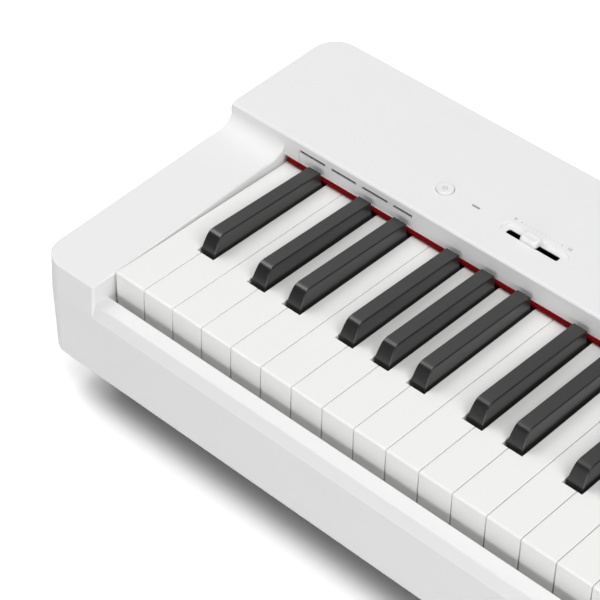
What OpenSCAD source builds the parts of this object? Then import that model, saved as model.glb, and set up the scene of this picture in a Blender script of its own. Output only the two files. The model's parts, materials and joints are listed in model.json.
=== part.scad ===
// Slab digital piano with 88 full-size keys, lying on its rubber feet.
// X runs along the keyboard (lowest note at -X), -Y is the player's side, Z is up.
// The origin is the middle of the footprint, on the surface that the feet stand on.

/* [Case] */
// Width over the two end arms
body_w = 1318; // [1310:1:1330]
// Depth from the front rail to the rear wall
body_d = 263; // [258:1:270]
// Height from the floor to the rear edge of the control panel
body_h = 130.5; // [129:0.5:132]
// How much lower the front edge of the control panel lies
panel_fall = 4; // [3:0.5:5]
// Thickness of the moulded case walls
wall = 3; // [2.5:0.1:3.5]
// Plan radius of the two front corners
front_r = 17; // [12:1:18]
// Plan radius of the two rear corners
rear_r = 18; // [12:1:24]
// Height of the white case's lower edge above the floor
skirt_z = 31; // [29:0.5:32]

/* [Keyboard] */
// Width that one white key takes up
key_pitch = 23.5; // [23.4:0.05:23.6]
// Height of the white key tops above the floor
key_top_z = 106; // [105:0.5:106.5]
// Distance from the case front to the white key fronts
key_setback = 18.5; // [17:0.5:20]
// Length of the wide front part of a white key
key_head = 47.9; // [46:0.1:50]
// Visible length of a white key, front to fascia
key_visible = 147; // [146:0.5:149]
// Distance from the white key fronts to the pivot rod
pivot_back = 195; // [190:1:198]
// Gap between two neighbouring white keys
key_gap = 0.7; // [0.5:0.1:0.9]
// Height of a white key's front face
key_front_h = 30; // [28:0.5:31]
// Width of a black key at its top
black_top_w = 9.1; // [8.8:0.1:9.6]
// Width of a black key at its foot
black_foot_w = 11; // [10.5:0.1:11.4]
// Height of a black key above the white keys, at its front
black_h = 12; // [11:0.5:12.5]
// Radius of the pivot rod
rod_r = 2; // [1.8:0.1:2.2]
// Radial running clearance of a key on the rod
rod_play = 0.06; // [0.03:0.01:0.09]

/* [Control panel] */
// Radius of the power button
power_r = 5.5; // [5:0.1:6]
// Distance of the power button from the lowest note's left edge
power_x = 105.5; // [100:0.1:114]
// Distance of the buttons' row behind the white key fronts
button_row = 173.6; // [170:0.1:176]
// Distance of the volume slot's middle from the lowest note's left edge
volume_x = 175.1; // [170:0.5:182]
// Length of the volume slot
volume_slot = 38.2; // [36:0.2:40]
// Place of the volume knob, from the middle of its slot
volume_set = -2.5; // [-12:0.5:12]
// Radius of a function button
function_r = 4; // [3.5:0.1:4.5]
// Spacing of the function buttons
function_step = 22; // [18:1:26]
// How far the buttons stand above the panel
button_rise = 1.2; // [1:0.1:1.4]

/* [Underside] */
// Radius of a rubber foot
foot_r = 10; // [8:0.5:12]
// Height of a rubber foot
foot_h = 10; // [8:0.5:11]
// Spacing of the stand's screws along the keyboard
stand_span_x = 1160; // [1150:5:1170]
// Spacing of the stand's screws front to rear
stand_span_y = 120; // [110:5:130]
// Radius of the stand inserts' bore
stand_bore_r = 3; // [2.9:0.05:3.1]

/* [Hidden] */
$fn = 48;
e = 0.01;

// Keyboard layout
whites = 52;
keyboard_w = whites * key_pitch;
key_left = -keyboard_w / 2;
octave_w = 7 * key_pitch;
lane_ce = 3 * key_pitch / 5;
lane_fb = 4 * key_pitch / 7;
first_c = key_left - 5 * key_pitch;
half_w = body_w / 2;
half_d = body_d / 2;
key_front = -half_d + key_setback;
pivot_y = key_front + pivot_back;
pivot_z = key_top_z - 14;
well_x = keyboard_w / 2 + 1.5;
fascia_y = key_front + key_visible;

// Key sections
lever_w = 9;
boss_r = 6;
tail_end = pivot_y - 20;
tail_h = 16;
cap_start = 2;
cap_end = 144;
cap_rear_h = 10;
white_pcs = [0, 2, 4, 5, 7, 9, 11];

// Case sections
arm_front_h = key_top_z - 3.2;
arm_rear_y = key_front + 130;
arm_rear_h = key_top_z + 5.5;
cove_r = 17;
crease_z = key_top_z - 25.7;
rail_top_z = key_top_z - 16;
rail_inner_y = key_front - 5.8;
rail_outer_y = key_front - 16;
fascia_low_z = key_top_z + 4.7;
panel_round = 1.2;
port_x0 = key_left + 10;
port_w = 93;
port_z0 = key_top_z + 5.3;
port_h = 9.7;
port_recess = 0.6;
tray_top_inset = 3.5;
tray_floor_inset = 24;
board_z = foot_h;
board_t = 6;
inner_floor = board_z + board_t;
frame_z = 44;
frame_t = 1.2;
leg_t = 1.5;
hammer_w = 5;
hammer_bar_h = 4;
hammer_head_h = 10;
hammer_head_l = 38;
button_y = key_front + button_row;
row_h = panel_at(button_y);
slider_y = button_y - 2.85;
slot_w = 4.2;
dish_depth = 1.2;
dish_l = volume_slot + 11;
dish_front = 3.5;
dish_rear = 6.8;
knob_l = 12.5;
knob_w = 8.5;
knob_rise = 2.8;
jack_z = 70;
dc_x = -330;
usb_x = -270;
pedal_x = -210;
phones_x = [-470, -445];
plug_bore_r = 3.25;
jack_r = 6;
jack_len = 30;
boss_xy = concat(
    [for (x = [-626, 626], y = [-85, 5]) [x, y]],
    [for (x = [-600, -360, -120, 120, 360, 600]) [x, 98]]);
function_x = [for (i = [0 : 3]) (i - 1.5) * function_step];
power_pos = key_left + power_x;
volume_pos = key_left + volume_x;
white_colour = [0.92, 0.92, 0.92];
ivory = [0.96, 0.96, 0.94];
ebony = [0.12, 0.12, 0.12];
steel = [0.72, 0.74, 0.76];
board_green = [0.1, 0.36, 0.2];

// Left edge of white key n, counted from 0 at the lowest note
function white_x(n) = key_left + n * key_pitch;

// Middle of a key's lane at the pivot; i counts all 88 keys from 0
function pc(i) = (i + 9) % 12;
function octave_x(i) = first_c + floor((i + 9) / 12) * octave_w;
function lane_x(i) = octave_x(i) + (pc(i) < 5 ? (pc(i) + 0.5) * lane_ce
    : 3 * key_pitch + (pc(i) - 4.5) * lane_fb);

// White keys below key i, and whether key i is white
function is_white(i) = len(search(pc(i), white_pcs)) > 0;
function white_number(i) = floor((i + 9) / 12) * 7 + search(pc(i), white_pcs)[0] - 5;

// What the black keys cut from a white key's left and right side; d is its degree, C = 0
function group_i(d) = d < 3 ? d : d - 3;
function group_lane(d) = d < 3 ? lane_ce : lane_fb;
function cut_left(d) = group_i(d) == 0 ? 0 : 2 * group_i(d) * group_lane(d) - group_i(d) * key_pitch;
function cut_right(d) = d == 2 || d == 6 ? 0
    : (group_i(d) + 1) * key_pitch - (2 * group_i(d) + 1) * group_lane(d);

// Rounded rectangle of the case in plan, drawn in by a margin
module plan(m, fr, rr) {
    hull() {
        for (s = [-1, 1]) {
            translate([s * (half_w - m - fr), -half_d + m + fr]) circle(fr);
            translate([s * (half_w - m - rr), half_d - m - rr]) circle(rr);
        }
    }
}

// Plan outline made of straight and round pieces only, so that its walls stay exact
module exact_plan(m, fr, rr) {
    for (s = [-1, 1]) {
        translate([s * (half_w - m - fr), -half_d + m + fr]) circle(fr);
        translate([s * (half_w - m - rr), half_d - m - rr]) circle(rr);
    }
    square_box(-half_w + m + fr, half_w - m - fr, -half_d + m, half_d - m);
    square_box(-half_w + m, half_w - m, -half_d + m + fr, half_d - m - rr);
    square_box(-half_w + m + rr, half_w - m - rr, 0, half_d - m);
}

module square_box(x0, x1, y0, y1) {
    translate([x0, y0]) square([x1 - x0, y1 - y0]);
}

module box(x0, x1, y0, y1, z0, z1) {
    translate([x0, y0, z0]) cube([x1 - x0, y1 - y0, z1 - z0]);
}

// Height of an arm's top at a place front to rear
function arm_top(y) = arm_front_h
    + (arm_rear_h - arm_front_h) * (y + half_d - 1.5) / (arm_rear_y + half_d - 1.5);

// Height of the control panel at a place front to rear
function panel_at(y) = body_h - panel_fall * (half_d - y) / (half_d - fascia_y);

// Side outline of arm and panel; t is how far it is drawn in from the outer skin
function cove(t) = [for (a = [-90 : 15 : 0])
    [fascia_y + t - cove_r + (cove_r) * cos(a), arm_rear_h - t + cove_r * (1 + sin(a)) * 0.55]];
function side_profile(t, low) = concat(
    [[-half_d + t, low], [-half_d + t, crease_z], [-half_d + 1.5 + t, arm_front_h - t]],
    cove(t),
    [[fascia_y + t, panel_at(fascia_y) - panel_round - t],
     [fascia_y + panel_round + t, panel_at(fascia_y + panel_round) - t],
     [half_d - t, body_h - t], [half_d - t, low]]);

// Extrudes a Y-Z outline along X between two places
module along_x(x0, x1, points) {
    translate([x0, 0, 0]) rotate([90, 0, 90]) linear_extrude(x1 - x0) polygon(points);
}

module sound_port_window(grow) {
    for (s = [-1, 1])
        mirror([s > 0 ? 1 : 0, 0, 0])
            box(port_x0 - grow, port_x0 + port_w + grow, fascia_y - 1, fascia_y + wall + 1,
                port_z0 - grow, port_z0 + port_h + grow);
}

module jack_holes() {
    translate([dc_x, half_d - wall - 1, jack_z]) rotate([-90, 0, 0]) cylinder(r = 5, h = wall + 2);
    box(usb_x - 6.5, usb_x + 6.5, half_d - wall - 1, half_d + 1, jack_z - 6, jack_z + 6);
    for (x = concat([pedal_x], phones_x))
        translate([x, half_d - wall - 1, jack_z]) rotate([-90, 0, 0])
            cylinder(r = jack_r, h = wall + 2);
}

module button_holes() {
    translate([power_pos, button_y, row_h - wall - 1]) cylinder(r = power_r + 0.3, h = wall + 2);
    for (x = function_x)
        translate([x, button_y, row_h - wall - 1]) cylinder(r = function_r + 0.3, h = wall + 2);
}

// Shallow dish with round ends around the volume slot, and the slot itself
module volume_cut() {
    dish_r = (dish_front + dish_rear) / 2;
    dish_y = slider_y + (dish_rear - dish_front) / 2;
    for (s = [-1, 1])
        translate([volume_pos + s * (dish_l / 2 - dish_r), dish_y, row_h - dish_depth])
            cylinder(r = dish_r, h = 5);
    box(volume_pos - dish_l / 2 + dish_r, volume_pos + dish_l / 2 - dish_r,
        dish_y - dish_r, dish_y + dish_r, row_h - dish_depth, row_h + 5);
    box(volume_pos - volume_slot / 2, volume_pos + volume_slot / 2,
        slider_y - slot_w / 2, slider_y + slot_w / 2, row_h - wall - 1, row_h);
}

module lamp_hole(grow) {
    box(power_pos + 21 - grow, power_pos + 27 + grow, button_y - 0.8 - grow, button_y + 0.8 + grow,
        row_h - wall - 1, row_h + 1);
}

module top_case() {
    color(white_colour) {
        difference() {
            intersection() {
                translate([0, 0, skirt_z]) linear_extrude(body_h) exact_plan(0, front_r, rear_r);
                along_x(-half_w, half_w, side_profile(0, skirt_z));
            }
            // hollow behind the fascia
            intersection() {
                linear_extrude(body_h) exact_plan(wall, front_r - wall, rear_r - wall);
                along_x(-half_w, half_w, side_profile(wall, 0));
                box(-half_w, half_w, fascia_y + wall, half_d, 0, body_h);
            }
            // hollow of each arm
            for (s = [-1, 1])
                intersection() {
                    linear_extrude(body_h) exact_plan(wall, front_r - wall, rear_r - wall);
                    along_x(s > 0 ? well_x + wall : -half_w, s > 0 ? half_w : -well_x - wall,
                        side_profile(wall, 0));
                }
            // well in which the keyboard lies, open to the front and below
            box(-well_x, well_x, -half_d - 1, fascia_y, 0, body_h + 1);
            box(-well_x, well_x, fascia_y - 1, fascia_y + wall + 1, 0, fascia_low_z);
            sound_port_window(0);
            jack_holes();
            button_holes();
            volume_cut();
            lamp_hole(0);
        }
        // posts that take the case screws
        for (p = boss_xy)
            translate([p[0], p[1], inner_floor]) difference() {
                cylinder(r = 4.5,
                    h = (p[1] < fascia_y ? arm_top(p[1]) : panel_at(p[1])) - wall / 2 - inner_floor);
                translate([0, 0, -1]) cylinder(r = 1.6, h = 21);
            }
    }
}

module front_rail() {
    color(white_colour)
        along_x(-well_x + 0.4, well_x - 0.4, [
            [-half_d, skirt_z], [-half_d, crease_z], [rail_outer_y, rail_top_z],
            [rail_inner_y, rail_top_z], [rail_inner_y, rail_top_z - 28],
            [rail_inner_y - wall, rail_top_z - 28], [rail_inner_y - wall, rail_top_z - wall],
            [rail_outer_y + 1.4, rail_top_z - wall], [-half_d + wall, crease_z - 1],
            [-half_d + wall, skirt_z]]);
}

// Slab of the case outline at one height, used for the sloping sides of the tray
module tray_slab(m, z, t) {
    translate([0, 0, z]) linear_extrude(t) plan(m, 12, 14);
}

module bottom_tray() {
    color([0.2, 0.2, 0.21])
        difference() {
            hull() {
                tray_slab(tray_floor_inset, board_z, 0.5);
                tray_slab(tray_top_inset, skirt_z - 0.5, 0.5);
            }
            hull() {
                tray_slab(tray_floor_inset + wall, inner_floor, 0.5);
                tray_slab(tray_top_inset + wall, skirt_z, 0.5);
            }
            stand_places() cylinder(r = 6, h = board_t * 3, center = true);
            for (p = boss_xy)
                translate([p[0], p[1], board_z - 1]) {
                    cylinder(r = 2, h = board_t + 2);
                    cylinder(r = 4, h = 3);
                }
            // sound slots under the two speakers
            for (s = [-1, 1], i = [-4 : 4])
                box(s * 470 - 30, s * 470 + 30, -20 + i * 8 - 1.4, -20 + i * 8 + 1.4,
                    board_z - 1, inner_floor + 1);
        }
}

module stand_places() {
    for (x = [-1, 1], y = [-1, 1])
        translate([x * stand_span_x / 2, y * stand_span_y / 2, board_z]) children();
}

// Threaded brass inserts, flush with the underside of the board
module stand_inserts() {
    color([0.78, 0.62, 0.3])
        stand_places() difference() {
            union() {
                cylinder(r = 6, h = board_t);
                translate([0, 0, board_t]) cylinder(r = 8, h = 1.5);
                translate([0, 0, board_t]) cylinder(r = 5, h = 8);
            }
            translate([0, 0, -1]) cylinder(r = stand_bore_r, h = 13);
        }
}

module rubber_feet() {
    color([0.08, 0.08, 0.08])
        for (x = [-590, 0, 590], y = [-88, 88])
            translate([x, y, 0]) {
                cylinder(r1 = foot_r - 1, r2 = foot_r, h = 2);
                translate([0, 0, 2]) cylinder(r = foot_r, h = foot_h - 2);
            }
}

module case_screws() {
    color(steel)
        for (p = boss_xy)
            translate([p[0], p[1], board_z + 0.2]) difference() {
                union() {
                    cylinder(r = 3.6, h = 1.8);
                    cylinder(r = 1.6, h = 22);
                }
                translate([-2.2, -0.4, -1]) cube([4.4, 0.8, 1.9]);
                translate([-0.4, -2.2, -1]) cube([0.8, 4.4, 1.9]);
            }
}

module felt_strip() {
    color([0.5, 0.03, 0.05])
        along_x(-well_x + 0.3, well_x - 0.3, [
            for (a = [-90 : 15 : 90]) [fascia_y + 0.6 - 1.9 * cos(a), key_top_z + 2.7 + 1.95 * sin(a)],
            [fascia_y + 3, fascia_low_z - 0.05], [fascia_y + 3, key_top_z + 0.75]]);
}

// Two slotted plates let into the fascia, in front of the sound outlets
module sound_ports() {
    slot_l = 20.8;
    slot_step = 25.4;
    color(white_colour)
        for (s = [-1, 1])
            mirror([s > 0 ? 1 : 0, 0, 0])
                difference() {
                    box(port_x0 + 0.1, port_x0 + port_w - 0.1, fascia_y + port_recess,
                        fascia_y + wall, port_z0 + 0.1, port_z0 + port_h - 0.1);
                    for (i = [0 : 3])
                        box(port_x0 + 1 + i * slot_step,
                            port_x0 + min(1 + i * slot_step + slot_l, port_w - 0.8),
                            fascia_y - 1, fascia_y + wall + 1,
                            port_z0 + port_h - 1.9, port_z0 + port_h - 0.5);
                }
}

// Steel frame with the brackets that carry the pivot rod and the contact board
module key_frame() {
    bracket_w = 2.4;
    brackets = concat([for (k = [0 : 7]) first_c + (k + 1) * octave_w], [-well_x + 1.6, well_x - 1.6]);
    color(steel) {
        box(-608, 608, key_front + 2, pivot_y + 10, frame_z, frame_z + frame_t);
        for (y = [key_front + 14, pivot_y - 4])
            box(-608, 608, y, y + leg_t, inner_floor, frame_z);
        box(-608, 608, key_front + 16, key_front + 16 + leg_t, frame_z + frame_t, frame_z + 14);
        for (x = brackets) {
            difference() {
                box(x - bracket_w / 2, x + bracket_w / 2, pivot_y - 8, pivot_y + 8,
                    abs(x) > 608 ? frame_z : frame_z + frame_t, pivot_z + 6);
                translate([x - bracket_w, pivot_y, pivot_z]) rotate([0, 90, 0])
                    cylinder(r = rod_r, h = 2 * bracket_w);
            }
            if (abs(x) > 608)
                box(min(x, sign(x) * 607), max(x, sign(x) * 607), pivot_y - 8, pivot_y + 8,
                    frame_z, frame_z + frame_t);
            box(x - bracket_w / 2, x + bracket_w / 2, pivot_y - 36, pivot_y - 26,
                abs(x) > 608 ? frame_z : frame_z + frame_t, key_top_z - 23.6);
            if (abs(x) > 608)
                box(min(x, sign(x) * 607), max(x, sign(x) * 607), pivot_y - 36, pivot_y - 26,
                    frame_z, frame_z + frame_t);
        }
    }
}

module pivot_rod() {
    color([0.8, 0.8, 0.82])
        translate([-well_x + 0.2, pivot_y, pivot_z]) rotate([0, 90, 0])
            cylinder(r = rod_r, h = 2 * well_x - 0.4);
}

// Felt that stops the white keys at the bottom of their travel
module key_stop_felts() {
    color([0.25, 0.4, 0.25])
        box(-606, 606, key_front + 3, key_front + 13, frame_z + frame_t, key_top_z - key_front_h - 10.6);
}

// One weighted lever for each key, lying on the frame under the keys
module hammer_weights() {
    head_y = key_front + 62;
    color([0.35, 0.36, 0.38])
        for (i = [0 : 87])
            translate([lane_x(i) - hammer_w / 2, 0, frame_z + frame_t]) {
                box(0, hammer_w, head_y, pivot_y - 44, 6, 6 + hammer_bar_h);
                box(0, hammer_w, head_y - hammer_head_l, head_y, 4, 4 + hammer_head_h);
                box(1, hammer_w - 1, pivot_y - 60, pivot_y - 50, 0, 6);
            }
}

module contact_board() {
    color(board_green)
        box(-604, 604, pivot_y - 52, pivot_y - 26, key_top_z - 23.6, key_top_z - 22);
}

module rubber_contacts() {
    color([0.3, 0.3, 0.32])
        for (i = [0 : 87])
            translate([lane_x(i), pivot_y - 38, key_top_z - 22]) {
                translate([0, -5, 0]) cylinder(r1 = 4, r2 = 2.6, h = 2.4);
                translate([0, 5, 0]) cylinder(r1 = 4, r2 = 2.6, h = 2.4);
            }
}

// Two full-range speakers that fire through the slots in the tray
module speakers() {
    color([0.15, 0.15, 0.16])
        for (s = [-1, 1])
            translate([s * 470, -20, inner_floor]) difference() {
                union() {
                    cylinder(r = 40, h = 3);
                    translate([0, 0, 3]) cylinder(r1 = 37, r2 = 22, h = 12);
                    translate([0, 0, 15]) cylinder(r = 22, h = 10);
                }
                translate([0, 0, -e]) cylinder(r1 = 34, r2 = 10, h = 10);
            }
}

module main_board() {
    color(board_green) {
        box(-340, -150, 92.5, 118, 60, 61.6);
        for (x = [-330, -270, -210, -160])
            translate([x, 98, inner_floor]) cylinder(r = 3, h = 60 - inner_floor);
    }
}

module panel_board() {
    color(board_green) {
        box(-545, 60, button_y - 14, button_y + 16, row_h - 16, row_h - 14.4);
        // switch bodies under the buttons
        for (x = concat([power_pos], function_x))
            box(x - 3, x + 3, button_y - 3, button_y + 3, row_h - 14.4, row_h - 10.4);
        for (x = [-540, -300, -150, 50])
            translate([x, button_y + 12, row_h - 14.4])
                cylinder(r = 2.5, h = panel_at(button_y + 12) - wall - row_h + 14.4);
    }
}

// Body of the sliding volume control, on the panel board
module slider_pot() {
    color([0.55, 0.56, 0.58])
        difference() {
            box(volume_pos - 27, volume_pos + 27, slider_y - 4, slider_y + 4,
                row_h - 14.4, row_h - 7.4);
            box(volume_pos - 22, volume_pos + 22, slider_y - 1.6, slider_y + 1.6,
                row_h - 12.4, row_h - 6);
        }
}

module power_lamp() {
    color([0.62, 0.63, 0.64])
        intersection() {
            lamp_hole(-0.1);
            box(-half_w, half_w, 0, half_d, row_h - wall, row_h - 0.05);
        }
}

module dc_inlet() {
    color([0.1, 0.1, 0.1])
        translate([dc_x, half_d, jack_z]) rotate([90, 0, 0]) {
            difference() {
                cylinder(r = 4.95, h = 14);
                translate([0, 0, -1]) cylinder(r = 2.9, h = 11);
            }
            cylinder(r = 0.95, h = 11);
        }
}

module usb_socket() {
    color([0.75, 0.76, 0.78])
        difference() {
            box(usb_x - 6.4, usb_x + 6.4, half_d - 17, half_d, jack_z - 5.9, jack_z + 5.9);
            box(usb_x - 4.3, usb_x + 4.3, half_d - 9, half_d + 1, jack_z - 3.9, jack_z + 3.9);
        }
}

// Socket for a 6.35 mm plug, its mouth flush with the rear wall
module plug_socket(x) {
    translate([x, half_d, jack_z]) rotate([90, 0, 0]) difference() {
        union() {
            cylinder(r = jack_r - 0.05, h = wall);
            translate([0, 0, wall]) cylinder(r = 8, h = jack_len - wall);
        }
        translate([0, 0, -1]) cylinder(r = plug_bore_r, h = jack_len - 1);
    }
}

module pedal_jack() {
    color([0.12, 0.12, 0.12]) plug_socket(pedal_x);
}

module headphone_jacks() {
    color([0.12, 0.12, 0.12]) for (x = phones_x) plug_socket(x);
}

// Cap that the finger moves, its stem in the slot and its carrier in the pot
module volume_slider() {
    knob_front = slider_y - knob_w / 2 + 1.4;
    color(white_colour) translate([volume_pos + volume_set, 0, 0]) {
        translate([0, 0, row_h - dish_depth + 0.3])
            linear_extrude(dish_depth + knob_rise - 0.3) {
                for (x = [-1, 1], y = [0, 1])
                    translate([x * (knob_l / 2 - 2), knob_front + 2 + y * (knob_w - 4)]) circle(2);
                square_box(-knob_l / 2, knob_l / 2, knob_front + 2, knob_front + knob_w - 2);
                square_box(-knob_l / 2 + 2, knob_l / 2 - 2, knob_front, knob_front + knob_w);
            }
        box(-3, 3, slider_y - 1.2, slider_y + 1.2, row_h - 11, row_h - dish_depth + 0.4);
    }
}

// Round push button with a skirt under the panel
module round_button(x, r) {
    translate([x, button_y, 0]) {
        translate([0, 0, row_h - wall - 0.8]) cylinder(r = r, h = wall + 0.8 + button_rise);
        translate([0, 0, row_h - wall - 2.4]) cylinder(r = r + 1.2, h = 1.6);
        translate([0, 0, row_h - 9.2]) cylinder(r = 1.5, h = 9.2 - wall - 2.2);
    }
}

module power_button() {
    color(white_colour) round_button(power_pos, power_r);
}

module function_button(i) {
    color(white_colour) round_button(function_x[i], function_r);
}

// Lever from the tail of a key to its boss on the pivot rod
module key_lever(i, z0, z1) {
    translate([lane_x(i), 0, 0]) {
        box(-lever_w / 2, lever_w / 2, tail_end - 1, pivot_y, z0, z1);
        translate([-lever_w / 2, pivot_y, pivot_z]) rotate([0, 90, 0]) cylinder(r = boss_r, h = lever_w);
    }
}

module rod_bore(i) {
    translate([lane_x(i) - lever_w, pivot_y, pivot_z]) rotate([0, 90, 0])
        cylinder(r = rod_r + rod_play, h = 2 * lever_w);
}

// White key i: wide head, narrower tail beside the black keys, hollow below
module white_key(i) {
    n = white_number(i);
    d = (n + 5) % 7;
    x0 = white_x(n) + key_gap / 2;
    x1 = white_x(n) + key_pitch - key_gap / 2;
    t0 = n == 0 ? x0 : max(x0, white_x(n) + cut_left(d));
    t1 = n == whites - 1 ? x1 : min(x1, white_x(n) + key_pitch - cut_right(d));
    skin = 2.4;
    difference() {
        union() {
            box(x0, x1, key_front, key_front + key_head, key_top_z - key_front_h, key_top_z);
            box(t0, t1, key_front + key_head - 1, tail_end, key_top_z - tail_h, key_top_z);
            key_lever(i, key_top_z - tail_h, key_top_z - 4);
        }
        box(x0 + skin, x1 - skin, key_front + skin, key_front + key_head - skin,
            key_top_z - key_front_h - 1, key_top_z - skin);
        box(t0 + skin, t1 - skin, key_front + key_head, pivot_y - 60,
            key_top_z - tail_h - 1, key_top_z - skin);
        rod_bore(i);
    }
}

// Black key i: sloping cap on a lever that runs between two white tails
module black_key(i) {
    x = lane_x(i);
    foot_z = key_top_z - 14;
    cap_front = key_front + key_head + cap_start;
    difference() {
        union() {
            intersection() {
                translate([x, key_front + cap_end, 0]) rotate([90, 0, 0])
                    linear_extrude(cap_end - key_head - cap_start) polygon([
                        [-black_foot_w / 2, foot_z], [black_foot_w / 2, foot_z],
                        [black_foot_w / 2, key_top_z - 2],
                        [black_top_w / 2, key_top_z + black_h], [-black_top_w / 2, key_top_z + black_h],
                        [-black_foot_w / 2, key_top_z - 2]]);
                along_x(x - black_foot_w, x + black_foot_w, [
                    [cap_front, foot_z], [cap_front, key_top_z], [cap_front + 5, key_top_z + 9.5],
                    [cap_front + 7, key_top_z + 11.3], [cap_front + 10, key_top_z + black_h],
                    [key_front + cap_end, key_top_z + cap_rear_h],
                    [key_front + cap_end, foot_z]]);
            }
            box(x - lever_w / 2, x + lever_w / 2, key_front + cap_end - 1, tail_end,
                foot_z - 2, key_top_z - 1);
            key_lever(i, foot_z - 2, key_top_z - 4);
        }
        box(x - black_foot_w / 2 + 2.4, x + black_foot_w / 2 - 2.4, cap_front + 3,
            key_front + cap_end - 3, foot_z - 1, key_top_z - 2);
        rod_bore(i);
    }
}

// One key, or all keys of one kind in an octave; k is the octave's number
module key(i) {
    if (is_white(i)) color(ivory) white_key(i);
    else color(ebony) black_key(i);
}

module octave_keys(k, white) {
    for (i = [12 * k - 9 : 12 * k + 2])
        if (is_white(i) == white) key(i);
}

top_case();
front_rail();
bottom_tray();
felt_strip();
sound_ports();
rubber_feet();
case_screws();
stand_inserts();
key_frame();
pivot_rod();
key_stop_felts();
hammer_weights();
contact_board();
rubber_contacts();
speakers();
main_board();
panel_board();
slider_pot();
power_lamp();
dc_inlet();
usb_socket();
pedal_jack();
headphone_jacks();
volume_slider();
power_button();
function_button(0);  // function_button_1
function_button(1);  // function_button_2
function_button(2);  // function_button_3
function_button(3);  // function_button_4
key(0);  // key_a0
key(1);  // key_as0
key(2);  // key_b0
key(3);  // key_c1
key(4);  // key_cs1
key(5);  // key_d1
key(6);  // key_ds1
key(7);  // key_e1
key(8);  // key_f1
key(9);  // key_fs1
key(10);  // key_g1
key(11);  // key_gs1
key(12);  // key_a1
key(13);  // key_as1
key(14);  // key_b1
octave_keys(2, true);  // white_keys_2
octave_keys(2, false);  // black_keys_2
octave_keys(3, true);  // white_keys_3
octave_keys(3, false);  // black_keys_3
octave_keys(4, true);  // white_keys_4
octave_keys(4, false);  // black_keys_4
octave_keys(5, true);  // white_keys_5
octave_keys(5, false);  // black_keys_5
octave_keys(6, true);  // white_keys_6
octave_keys(6, false);  // black_keys_6
octave_keys(7, true);  // white_keys_7
octave_keys(7, false);  // black_keys_7
key(87);  // key_c8
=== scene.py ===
"""Digital piano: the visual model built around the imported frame."""

import json
import math

import bmesh
import bpy
import numpy as np
from mathutils import Matrix, Vector


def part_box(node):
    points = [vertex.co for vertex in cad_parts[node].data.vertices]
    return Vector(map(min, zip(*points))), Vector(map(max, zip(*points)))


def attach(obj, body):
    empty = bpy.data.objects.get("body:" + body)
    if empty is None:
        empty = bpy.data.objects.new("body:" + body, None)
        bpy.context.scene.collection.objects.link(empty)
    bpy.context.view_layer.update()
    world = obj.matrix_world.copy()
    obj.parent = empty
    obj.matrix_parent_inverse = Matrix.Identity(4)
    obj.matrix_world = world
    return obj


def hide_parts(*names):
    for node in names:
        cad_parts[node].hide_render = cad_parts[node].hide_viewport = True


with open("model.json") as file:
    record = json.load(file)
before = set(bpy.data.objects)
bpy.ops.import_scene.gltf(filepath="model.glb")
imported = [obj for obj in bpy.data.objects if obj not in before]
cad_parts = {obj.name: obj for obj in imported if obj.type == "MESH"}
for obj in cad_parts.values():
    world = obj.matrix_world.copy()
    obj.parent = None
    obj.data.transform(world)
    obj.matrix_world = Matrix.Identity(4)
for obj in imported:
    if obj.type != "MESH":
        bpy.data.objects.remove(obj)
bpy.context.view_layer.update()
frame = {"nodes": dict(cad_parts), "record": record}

MM = 0.001


def box_mm(node):
    """The two corners of a node's box, in millimetres."""
    return [[c / MM for c in corner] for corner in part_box(node)]


# ---------------------------------------------------------------- camera

CAMERA_AZIMUTH = 41.92
CAMERA_ELEVATION = 41.61
CAMERA_ROLL = 1.46
CAMERA_DISTANCE = 1342.5
CAMERA_TARGET = (-516.15, -55.61, 106.0)
CAMERA_LENS = 138.51
CAMERA_SENSOR = 36
CAMERA_REACH = 50


def place_camera():
    """The camera looks down on the low keys from the player's right."""
    azimuth, elevation, roll = (math.radians(a) for a in (
        CAMERA_AZIMUTH, CAMERA_ELEVATION, CAMERA_ROLL))
    back = Vector((math.sin(azimuth) * math.cos(elevation),
                   -math.cos(azimuth) * math.cos(elevation), math.sin(elevation)))
    right = Vector((0, 0, 1)).cross(back).normalized()
    up = back.cross(right)
    side = right * math.cos(roll) + up * math.sin(roll)
    top = up * math.cos(roll) - right * math.sin(roll)
    place = (Vector(CAMERA_TARGET) + back * CAMERA_DISTANCE) * MM
    data = bpy.data.cameras.new("camera")
    data.lens = CAMERA_LENS
    data.sensor_width = CAMERA_SENSOR
    data.clip_end = CAMERA_REACH
    camera = bpy.data.objects.new("camera", data)
    camera.matrix_world = Matrix((
        (side.x, top.x, back.x, place.x), (side.y, top.y, back.y, place.y),
        (side.z, top.z, back.z, place.z), (0, 0, 0, 1)))
    bpy.context.scene.collection.objects.link(camera)
    bpy.context.scene.camera = camera


place_camera()

# ---------------------------------------------------------------- materials


def node_group(name, inputs, outputs):
    """An empty shader group with its sockets, and its two end nodes."""
    group = bpy.data.node_groups.new(name, "ShaderNodeTree")
    for socket, kind, value in inputs:
        made = group.interface.new_socket(socket, in_out="INPUT", socket_type="NodeSocket" + kind)
        if value is not None:
            made.default_value = value
    for socket, kind in outputs:
        group.interface.new_socket(socket, in_out="OUTPUT", socket_type="NodeSocket" + kind)
    return group, group.nodes.new("NodeGroupInput"), group.nodes.new("NodeGroupOutput")


def math_step(tree, operation, *values):
    """A math node whose inputs are numbers or other nodes' sockets."""
    step = tree.nodes.new("ShaderNodeMath")
    step.operation = operation
    for socket, value in zip(step.inputs, values):
        if isinstance(value, (int, float)):
            socket.default_value = value
        else:
            tree.links.new(value, socket)
    return step.outputs[0]


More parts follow.
